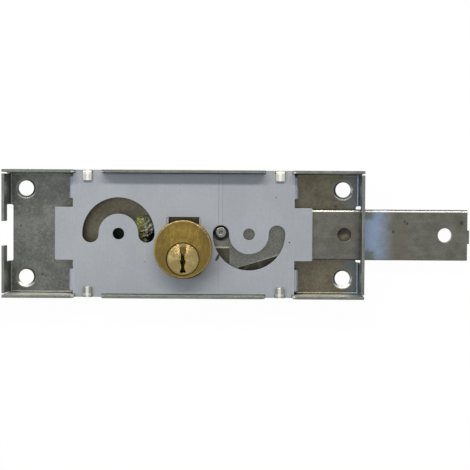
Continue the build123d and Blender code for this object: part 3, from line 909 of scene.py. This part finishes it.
class Finishes:
    """All the finishes of the lock."""

    CASE = CaseSheet("case_galvanised", "case_steel", (0.155, 0.162, 0.147), 0.36, 0.95)
    COVER = ZincCover("cover_plate_zinc", "cover_zinc", (0.262, 0.277, 0.3), 0.6, 0.3)
    BAR = BarSteel("bar_plating", "bar_steel", (0.118, 0.117, 0.101), 0.33, 0.95)
    OILED = OiledSteel("mechanism_oiled_steel", "mechanism_steel", (0.16, 0.16, 0.135), 0.34, 0.9)
    # The crank gets painted black shade round its pin and a painted highlight along its edge at Y
    # -6.3.
    CRANK = replace(OILED, name="crank_oiled_steel", pin=CRANK_PIN, edge=-6.3)
    SPRING = OiledSteel("spring_bright_steel", "spring_steel", (0.42, 0.43, 0.44), 0.28, 1.0)
    PIN = TurnedSteel("crank_pin_steel", "bar_steel", (0.22, 0.22, 0.2), 0.3, 1.0)
    # The head's rim gets a painted highlight.
    HEAD = TurnedBrass(
        "cylinder_head_brass",
        "cylinder_brass",
        (0.222, 0.163, 0.041),
        0.28,
        0.98,
        rim=12.4,
        grooves=0.014,
        handled=(0.3, -1.5, 5.2),
        seam=PLUG_SEAM,
    )
    # The plug's channel is painted dark as shade.
    PLUG = TurnedBrass(
        "plug_polished_brass",
        "plug_brass",
        (0.26, 0.2, 0.08),
        0.29,
        1.0,
        axis=PLUG_AXIS,
        tarnished=0.25,
        grooves=0.021,
        channel=((-1.35, 1.35), (-8.0, -3.0)),
        seam=PLUG_SEAM,
    )
    SMALL_BRASS = TurnedBrass(
        "pin_plain_brass", "pin_brass", (0.5, 0.38, 0.15), 0.3, 0.95, tarnished=0.3
    )
    BLOCK = BrownBlock("block_brown", "guide_brown", (0.07, 0.055, 0.036), 0.62, 0.0)
    GREASE = Grease("grease_yellow_green", "", (0.17, 0.19, 0.03), 0.34, 0.0)


def add_object(name: str, data: bpy.types.ID) -> bpy.types.Object:
    """Makes an object and puts it in the scene.

    Args:
        name: Its name.
        data: Its mesh, lamp or camera.

    Returns:
        The object.
    """
    made = bpy.data.objects.new(name, data)
    bpy.context.scene.collection.objects.link(made)
    return made


def settle(
    piece: bpy.types.Object, body: Body, replaced: Sequence[str] = ()
) -> None:
    """Puts a finished piece on its body and reports it.

    Args:
        piece: The piece, with its place in its mesh.
        body: The body that carries it.
        replaced: The CAD nodes that it stands for.
    """
    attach(piece, body.value)
    if replaced:
        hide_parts(*replaced)
    LOG.info("%s rides on %s: %d faces", piece.name, body.value, len(piece.data.polygons))


@dataclass
class EasedNode:
    """A merged copy of a CAD node whose sharp edges are eased, so that they catch the light.

    Attributes:
        node: The CAD node's name.
        body: The body that carries it.
        finish: Its finish.
        ease: Width of the eased edge.
        reshape: A small change to the merged copy, before its edges are eased.
        steps: Faces across the eased edge.
        sharp_angle: Edges that turn by more than this many degrees are eased.
        flat_angle: Faces that turn by less than this many degrees are joined.
        join_within: Corners closer than this are merged.
        shortest: Edges shorter than this are taken out.
    """

    node: str
    body: Body
    finish: Finish
    ease: float
    reshape: Reshape | None = None
    steps: int = 2
    sharp_angle: float = 34.0
    flat_angle: float = 0.3
    join_within: float = 0.002
    shortest: float = 0.001

    def mesh(self, source: bpy.types.Object) -> bpy.types.Mesh:
        """Merges the node's triangles and joins the flat ones.

        Args:
            source: The CAD node's object.

        Returns:
            A new mesh, smooth but for its sharp edges.
        """
        shape = bmesh.new()
        shape.from_mesh(source.data)
        bmesh.ops.remove_doubles(shape, verts=shape.verts, dist=self.join_within * MM)
        bmesh.ops.dissolve_degenerate(shape, edges=shape.edges, dist=self.shortest * MM)
        flat = math.radians(self.flat_angle)
        bmesh.ops.dissolve_limit(shape, angle_limit=flat, verts=shape.verts, edges=shape.edges)
        if self.reshape:
            self.reshape(shape)
        limit = math.radians(self.sharp_angle)
        for edge in shape.edges:
            edge.smooth = edge.calc_face_angle(math.pi) < limit
        for face in shape.faces:
            face.smooth = True
        mesh = bpy.data.meshes.new(f"{self.node}_eased")
        shape.to_mesh(mesh)
        shape.free()
        return mesh

    def build(self, source: bpy.types.Object) -> None:
        """Makes the piece, dresses it and puts it on its body in the node's stead.

        Args:
            source: The CAD node's object.
        """
        piece = add_object(f"{self.node}_eased", self.mesh(source))
        piece.data.materials.clear()
        piece.data.materials.append(self.finish.material())
        bevel = piece.modifiers.new("eased_edges", "BEVEL")
        bevel.width = self.ease * MM
        bevel.segments = self.steps
        bevel.limit_method = "ANGLE"
        bevel.angle_limit = math.radians(self.sharp_angle)
        bevel.use_clamp_overlap = False
        bevel.loop_slide = False
        normals = piece.modifiers.new("flat_faces_first", "WEIGHTED_NORMAL")
        normals.mode = "FACE_AREA"
        normals.keep_sharp = True
        settle(piece, self.body, [self.node])


@dataclass
class Assembly:
    """A sub-assembly of the lock that dresses its CAD nodes.

    Attributes:
        nodes: The frame's CAD nodes by name.
    """

    nodes: dict[str, bpy.types.Object]

    def dress(
        self, body: Body, finish: Finish, ease: float, *names: str, reshape: Reshape | None = None
    ) -> None:
        """Eases and dresses nodes that share a body and a finish.

        Args:
            body: The body that carries them.
            finish: Their finish.
            ease: Width of their eased edges.
            *names: Their names.
            reshape: A small change to each merged copy, before its edges are eased.
        """
        for name in names:
            EasedNode(name, body, finish, ease, reshape).build(self.nodes[name])


def grid_piece(name: str, points: np.ndarray, finish: Finish) -> bpy.types.Object:
    """Makes a closed piece from a grid of points that goes round in its second direction.

    The first and the last row get a flat cap each.

    Args:
        name: The piece's name.
        points: Array of shape (rows, columns, 3) in millimetres. Columns go round.
        finish: Its finish.

    Returns:
        The piece, not yet on a body.
    """
    rows, columns = points.shape[:2]
    row, column = np.meshgrid(np.arange(rows - 1), np.arange(columns), indexing="ij")
    here, below, right = row * columns, (row + 1) * columns, (column + 1) % columns
    quads = np.stack([here + column, here + right, below + right, below + column], axis=-1)
    faces: list[list[int]] = quads.reshape(-1, 4).tolist()
    cap = np.arange(columns)
    faces += [cap[::-1].tolist(), (cap + (rows - 1) * columns).tolist()]
    mesh = bpy.data.meshes.new(name)
    mesh.from_pydata((points.reshape(-1, 3) * MM).tolist(), [], faces)
    mesh.validate()
    shape = bmesh.new()
    shape.from_mesh(mesh)
    bmesh.ops.recalc_face_normals(shape, faces=shape.faces)
    shape.to_mesh(mesh)
    shape.free()
    mesh.polygons.foreach_set("use_smooth", np.ones(len(mesh.polygons), bool))
    mesh.materials.append(finish.material())
    return add_object(name, mesh)


@dataclass
class Case(Assembly):
    """The fixed sheet-metal parts: folded case, cover plate and the block under the bar.

    Attributes:
        sheet_ease: Eased edge of the folded sheets.
        block_ease: Eased edge of the block.
        rivet_ease: Eased edge of the stud and the rivets.
        clip_ease: Eased edge of the cylinder's clip.
        bush_ease: Eased edge of the pinion's bush.
        washer_ease: Eased edge of the washers.
        tab_reach: Half a tab's width, with some room.
        tab_foot: Least height of a tab.
        tab_tip: Distance of the tabs' tips from the middle, along Y, with some room.
        tab_longer: How much further the tabs lie over the cover than in the CAD.
    """

    sheet_ease: float = 0.12
    block_ease: float = 0.15
    rivet_ease: float = 0.1
    clip_ease: float = 0.08
    bush_ease: float = 0.05
    washer_ease: float = 0.04
    tab_reach: float = 2.0
    tab_foot: float = 9.2
    tab_tip: float = 24.4
    tab_longer: float = 1.4

    def lengthen_tabs(self, shape: bmesh.types.BMesh) -> None:
        """Moves the tips of the four bent tabs further over the cover.

        Args:
            shape: The case's merged copy.
        """
        for vertex in shape.verts:
            x, y, z = vertex.co / MM
            on_tab = abs(abs(x) - TAB_X) < self.tab_reach and z > self.tab_foot
            if on_tab and abs(y) < self.tab_tip:
                vertex.co.y -= math.copysign(self.tab_longer * MM, y)

    def build(self) -> None:
        """Dresses the sheets and all that is fixed to them."""
        tabs = self.lengthen_tabs
        rivets = ("crank_stud", "guide_rivet_upper", "guide_rivet_lower")
        washers = ("crank_washer", "pinion_washer")
        self.dress(Body.CASE, Finishes.CASE, self.sheet_ease, "case_tray", reshape=tabs)
        self.dress(Body.CASE, Finishes.COVER, self.sheet_ease, "cover_plate")
        self.dress(Body.CASE, Finishes.BLOCK, self.block_ease, "bolt_guide")
        self.dress(Body.CASE, Finishes.OILED, self.rivet_ease, *rivets)
        self.dress(Body.CASE, Finishes.SMALL_BRASS, self.bush_ease, "pinion_bush")
        self.dress(Body.CASE, Finishes.SPRING, self.washer_ease, *washers)
        self.dress(Body.CASE, Finishes.SPRING, self.clip_ease, "cylinder_clip")


@dataclass
class KeyCylinder(Assembly):
    """The brass cylinder: body, plug, tumblers and their coil springs.

    Attributes:
        head_ease: Eased edge of the cylinder's body.
        plug_ease: Eased edge of the plug.
        circlip_ease: Eased edge of the plug's circlip.
        tumbler_ease: Eased edge of the pins and caps.
        tumblers: How many pin stacks there are.
        spring_turns: Turns of each coil spring.
        flat_turns: Turns at each end of a spring that lie flat.
        evened: Share of a spring's rise that eases in and out.
        wire: Radius of the spring wire.
        sides: Points round the wire.
        steps: Points along one turn.
        flange_radius: Radius of the plug's flange.
        face: Height of the plug's face, with some room.
        dome: How far the face falls from its middle to its rim.
        cuts: Cuts across the face, each way, that let it bend.
        cut_room: A corner nearer to a cut than this counts as on it.
    """

    head_ease: float = 0.1
    plug_ease: float = 0.08
    circlip_ease: float = 0.05
    tumbler_ease: float = 0.06
    tumblers: int = 4
    spring_turns: float = 7.0
    flat_turns: float = 0.75
    evened: float = 0.25
    wire: float = 0.14
    sides: int = 8
    steps: int = 20
    flange_radius: float = 6.9
    face: float = 17.45
    dome: float = 0.5
    cuts: int = 15
    cut_room: float = 0.0001

    def round_face(self, shape: bmesh.types.BMesh) -> None:
        """Rounds the plug's flat face into a shallow dome.

        The face is cut into squares, and each of its points falls by the dome's height times the
        square of its share of the flange's radius.

        Args:
            shape: The plug's merged copy.
        """
        high, room = self.face * MM, self.cut_room * MM
        offsets = np.linspace(-self.flange_radius, self.flange_radius, self.cuts + 2)[1:-1]
        for axis, middle in enumerate(PLUG_AXIS):
            for offset in offsets:
                faces = [face for face in shape.faces if all(v.co.z > high for v in face.verts)]
                edges = {edge for face in faces for edge in face.edges}
                verts = {vertex for face in faces for vertex in face.verts}
                place, normal = Vector((0.0, 0.0, 0.0)), Vector((0.0, 0.0, 0.0))
                place[axis], normal[axis] = (middle + offset) * MM, 1.0
                cut = [*verts, *edges, *faces]
                bmesh.ops.bisect_plane(shape, geom=cut, dist=room, plane_co=place, plane_no=normal)
        for vertex in shape.verts:
            if vertex.co.z > high:
                across, along = vertex.co.x / MM - PLUG_AXIS[0], vertex.co.y / MM - PLUG_AXIS[1]
                out = math.hypot(across, along) / self.flange_radius
                vertex.co.z -= self.dome * out**2 * MM

    def coil(self, low: np.ndarray, high: np.ndarray) -> np.ndarray:
        """A compression spring along Y whose end turns lie flat.

        The centre line is a circle of the coil's radius whose height follows a ramp of the turn,
        level over the flat turns at both ends, with a share of it eased in and out. Each point of
        the surface is the centre line plus the wire's radius times the circle round its tangent.

        Args:
            low: Lowest corner of the room for the spring.
            high: Highest corner of it.

        Returns:
            Points of shape (along, around, 3).
        """
        count = int(self.spring_turns * self.steps) + 1
        turn = np.linspace(0.0, self.spring_turns, count)
        flat, thick = self.flat_turns, self.wire * 2
        ramp = np.clip((turn - flat) / (self.spring_turns - 2 * flat), 0.0, 1.0)
        level = ramp * (1 - self.evened) + ramp * ramp * (3 - 2 * ramp) * self.evened
        lift = thick * np.clip(turn / flat, 0.0, 1.0)
        fall = thick * np.clip((self.spring_turns - turn) / flat, 0.0, 1.0)
        start, stop = low[1] + self.wire, high[1] - self.wire
        height = start + lift + (stop - start - 2 * thick) * level + (thick - fall)
        radius = (high[0] - low[0]) / 2 - self.wire
        angle = 2 * np.pi * turn
        x = (low[0] + high[0]) / 2 + radius * np.cos(angle)
        z = (low[2] + high[2]) / 2 + radius * np.sin(angle)
        centre = np.stack([x, height, z], axis=-1)
        tangent = np.gradient(centre, axis=0)
        tangent /= np.linalg.norm(tangent, axis=1, keepdims=True)
        outward = np.stack([np.cos(angle), np.zeros(count), np.sin(angle)], axis=-1)
        outward -= tangent * np.sum(outward * tangent, axis=1, keepdims=True)
        outward /= np.linalg.norm(outward, axis=1, keepdims=True)
        upward = np.cross(tangent, outward)
        around = (2 * np.pi * np.arange(self.sides) / self.sides)[None, :, None]
        ring = outward[:, None] * np.cos(around) + upward[:, None] * np.sin(around)
        return centre[:, None] + self.wire * ring

    def build(self) -> None:
        """Dresses the body and the plug, and winds the springs."""
        plug, dome = Finishes.PLUG, self.round_face
        brass, ease = Finishes.SMALL_BRASS, self.tumbler_ease
        self.dress(Body.CASE, Finishes.HEAD, self.head_ease, "cylinder_body")
        self.dress(Body.KEY_PLUG, plug, self.plug_ease, "cylinder_plug", reshape=dome)
        self.dress(Body.KEY_PLUG, Finishes.SPRING, self.circlip_ease, "plug_circlip")
        for index in range(1, self.tumblers + 1):
            self.dress(Body.KEY_PLUG, brass, ease, f"key_pin_{index}")
            self.dress(Body.CASE, brass, ease, f"driver_pin_{index}", f"chamber_cap_{index}")
            node = f"tumbler_spring_{index}"
            low, high = (np.array(corner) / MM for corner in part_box(node))
            spring = grid_piece(f"coil_{node}", self.coil(low, high), Finishes.SPRING)
            settle(spring, Body.CASE, [node])


@dataclass
class Drive(Assembly):
    """The pinion, the toothed crank with its pin, and the bar that it throws.

    Attributes:
        bar_ease: Eased edge of the bar.
        tooth_ease: Eased edge of the toothed parts, the tail blade and the crank pin.
        bush_ease: Eased edge of the crank's bush.
    """

    bar_ease: float = 0.14
    tooth_ease: float = 0.08
    bush_ease: float = 0.05

    def build(self) -> None:
        """Dresses the moving parts."""
        oiled, ease = Finishes.OILED, self.tooth_ease
        self.dress(Body.KEY_PLUG, oiled, ease, "tail_blade", "drive_pinion")
        self.dress(Body.CRANK, Finishes.CRANK, ease, "crank_sector")
        self.dress(Body.CRANK, Finishes.SMALL_BRASS, self.bush_ease, "crank_bush")
        self.dress(Body.CRANK, Finishes.PIN, ease, "crank_pin")
        self.dress(Body.BOLT, Finishes.BAR, self.bar_ease, "bolt_bar")


@dataclass
class GreaseLump:
    """Grease that was left on the base under the left arc slot.

    Attributes:
        centre: Its middle on the base.
        reach: Half its width and half its length.
        lobes: Waves in its outline, each a share of the radius, a number round it and a phase.
        lean: How far its long axis leans from Y, in degrees.
        height: How high it stands.
        ridge: Height of the coarse and of the fine ridges.
        base: Height of the sheet that it lies on.
        rings: Rows of points from its middle to its foot.
        spokes: Points round it.
    """

    centre: Span = (-17.0, 2.0)
    reach: Span = (4.6, 6.4)
    lobes: tuple[Point, ...] = ((0.09, 3, 0.6), (0.05, 5, 2.0), (0.03, 9, 0.0))
    lean: float = 6.0
    height: float = 3.0
    ridge: Span = (0.75, 0.3)
    base: float = 1.25
    rings: int = 44
    spokes: int = 110

    def surface(self) -> np.ndarray:
        """A low lump with a lobed foot and diagonal ridges.

        The foot is an ellipse whose radius is changed by waves round it. The height falls from the
        middle as one minus a power of the way out, to the power 0.6. Sharp ridges run diagonally
        over it: one minus the size of a bent sine wave across them, and a finer one. The last rows
        go under the lump, flat on the base.

        Returns:
            Points of shape (rows, spokes, 3) in millimetres.
        """
        out = np.linspace(0.02, 1.0, self.rings)[:, None]
        angle = 2 * np.pi * np.arange(self.spokes)[None, :] / self.spokes
        waves = (share * np.sin(count * angle + phase) for share, count, phase in self.lobes)
        lobed = sum(waves, start=1)
        across = self.reach[0] * out * lobed * np.cos(angle)
        along = self.reach[1] * out * lobed * np.sin(angle)
        lean = math.radians(self.lean)
        x = self.centre[0] + across * math.cos(lean) - along * math.sin(lean)
        y = self.centre[1] + across * math.sin(lean) + along * math.cos(lean)
        beside = 0.82 * y - 0.57 * x
        bend = np.sin(1.1 * x + 0.4 * y) + 0.5 * np.sin(2.3 * y - 0.9 * x)
        coarse = 1 - np.abs(np.sin(1.5 * beside + bend)) ** 0.8
        finer = 1 - np.abs(np.sin(3.7 * beside - 2 * bend + x))
        ridges = self.ridge[0] * coarse + self.ridge[1] * finer
        dome = (1 - out**2.4) ** 0.6
        z = self.base + dome * (self.height * (0.82 + 0.18 * np.sin(0.5 * y + 1.0)) + ridges)
        top = np.stack([x, y, z], axis=-1)
        foot = top[-1:].copy()
        foot[..., 2] = self.base
        middle = np.array([*self.centre, self.base])
        under = middle + (foot - middle) * np.linspace(0.8, 0.02, 4)[:, None, None]
        under[..., 2] = self.base
        return np.concatenate([top, under])

    def build(self) -> None:
        """Makes the lump and lays it on the case."""
        lump = grid_piece("grease_lump", self.surface(), Finishes.GREASE)
        settle(lump, Body.CASE)


def place_facing(
    thing: bpy.types.Object, place: Vector, back: Vector, roll: float = 0.0
) -> None:
    """Places a camera or lamp so that it looks away from a direction.

    Args:
        thing: The camera or the lamp.
        place: Where it goes, in metres.
        back: Unit vector out of its back.
        roll: How far its right side leans up, as a slope.
    """
    right = Vector((1.0, roll, 0.0))
    right = (right - back * right.dot(back)).normalized()
    turn = Matrix((right, back.cross(right), back)).transposed().to_4x4()
    thing.matrix_world = Matrix.Translation(place) @ turn


@dataclass(frozen=True)
class Lamp:
    """An area lamp that faces the lock.

    Attributes:
        name: The lamp's name.
        slope: Direction from the lock to the lamp, as its slopes along X and Y for a rise of 1.
        size: Its length along X and its width.
        power: Its power in watts.
        color: Its colour.
        distance: How far it hangs from the lock.
    """

    name: str
    slope: Span
    size: Span
    power: float
    color: Color
    distance: float = 900.0

    def build(self) -> None:
        """Hangs the lamp."""
        data = bpy.data.lights.new(self.name, "AREA")
        data.shape = "RECTANGLE"
        data.size, data.size_y = (side * MM for side in self.size)
        data.energy, data.color = self.power, self.color
        out = Vector((*self.slope, 1.0)).normalized()
        place_facing(add_object(self.name, data), out * self.distance * MM, out)


@dataclass
class Studio:
    """Floor, light and camera.

    Attributes:
        eye: Where the camera is.
        aim: The point at the centre of the picture.
        roll: How far the object leans clockwise in the picture, as a slope.
        lens: Focal length of the camera, for its sensor.
        sensor: Width of the sensor.
        clip: Nearest and furthest distance that the camera sees, in metres.
        lamps: A long warm lamp above and a bluish one on the left.
        world_level: How bright the world is to matt surfaces.
        world_color: Its colour to matt surfaces.
        floor_color: Colour of the floor under its glow.
        floor_glow: How much of the floor's white is its own.
        floor_size: Side of the floor.
        floor_gap: How far the floor lies under the lock's back.
    """

    eye: Point = (22.12, 18.6, 530.0)
    aim: Point = (22.12, -0.61, 0.0)
    roll: float = 0.0061
    lens: float = 92.6
    sensor: float = 36.0
    clip: Span = (0.01, 10.0)
    lamps: tuple[Lamp, ...] = (
        Lamp("key_lamp", (-0.12, 0.88), (1200.0, 100.0), 10.0, (1.0, 0.95, 0.88)),
        Lamp("sky_lamp", (-1.0, 0.1), (260.0, 260.0), 2.0, (0.72, 0.85, 1.0)),
    )
    world_level: float = 0.42
    world_color: Color = (0.92, 0.98, 1.0)
    floor_color: Color = (0.86, 0.86, 0.86)
    floor_glow: float = 0.975
    floor_size: float = 3000.0
    floor_gap: float = 0.05

    def camera(self) -> None:
        """Places the camera at the photograph's viewing angle."""
        data = bpy.data.cameras.new("camera")
        data.lens, data.sensor_width, data.sensor_fit = self.lens, self.sensor, "HORIZONTAL"
        data.clip_start, data.clip_end = self.clip
        camera = add_object("camera", data)
        eye, aim = Vector(self.eye) * MM, Vector(self.aim) * MM
        place_facing(camera, eye, (eye - aim).normalized(), self.roll)
        bpy.context.scene.camera = camera

    def seen(self, graph: Graph) -> Value:
        """Tells the rays that see the white background from the others.

        Args:
            graph: The tree of the world or of a material.

        Returns:
            1 for camera, mirror and glass rays.
        """
        path = graph.node("ShaderNodeLightPath")
        names = ("Is Camera Ray", "Is Glossy Ray", "Is Transmission Ray")
        camera, glossy, glass = (Value(graph, path.outputs[name]) for name in names)
        return camera.larger(glossy).larger(glass)

    def world(self) -> None:
        """Makes the world white to the camera and softer to matt surfaces."""
        world = bpy.data.worlds.new("studio")
        world.use_nodes = True
        graph = Graph(world.node_tree)
        seen = self.seen(graph)
        strength = seen * (1.0 - self.world_level) + self.world_level
        inputs = {"Color": graph.mix(self.world_color, WHITE, seen), "Strength": strength}
        background = graph.node("ShaderNodeBackground", inputs)
        graph.node("ShaderNodeOutputWorld", {"Surface": background.outputs[0]})
        bpy.context.scene.world = world

    def floor(self) -> None:
        """Lays a pale floor that glows to the camera, keeps a faint shadow and is clear from below.

        It lies a hair under the lock's back, so that the two faces don't share a plane.
        """
        half, low = self.floor_size * MM / 2, -self.floor_gap * MM
        mesh = bpy.data.meshes.new("floor")
        corners = [(-half, -half, low), (half, -half, low), (half, half, low), (-half, half, low)]
        mesh.from_pydata(corners, [], [(0, 1, 2, 3)])
        material = bpy.data.materials.new("floor_pale")
        material.use_nodes = True
        graph = Graph(material.node_tree)
        matt = graph.node("ShaderNodeBsdfDiffuse", {"Color": self.floor_color})
        glow = graph.node("ShaderNodeEmission", {"Color": WHITE, "Strength": 1.0})
        inputs = {0: self.seen(graph) * self.floor_glow, 1: matt.outputs[0], 2: glow.outputs[0]}
        top = graph.node("ShaderNodeMixShader", inputs)
        clear = graph.node("ShaderNodeBsdfTransparent")
        below = graph.node("ShaderNodeNewGeometry").outputs["Backfacing"]
        inputs = {0: below, 1: top.outputs[0], 2: clear.outputs[0]}
        sides = graph.node("ShaderNodeMixShader", inputs)
        graph.node("ShaderNodeOutputMaterial", {"Surface": sides.outputs[0]})
        mesh.materials.append(material)
        floor = add_object("floor", mesh)

    def build(self) -> None:
        """Sets the whole studio up."""
        self.camera()
        for lamp in self.lamps:
            lamp.build()
        self.world()
        self.floor()
        bpy.context.scene.view_settings.view_transform = "Standard"


def main() -> None:
    """Loads the frame and builds the lock's looks around it."""
    logging.basicConfig(level=logging.INFO, format="%(message)s")
    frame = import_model()
    nodes = frame["nodes"]
    Studio().build()
    Case(nodes).build()
    KeyCylinder(nodes).build()
    Drive(nodes).build()
    GreaseLump().build()


if __name__ == "__main__":
    main()
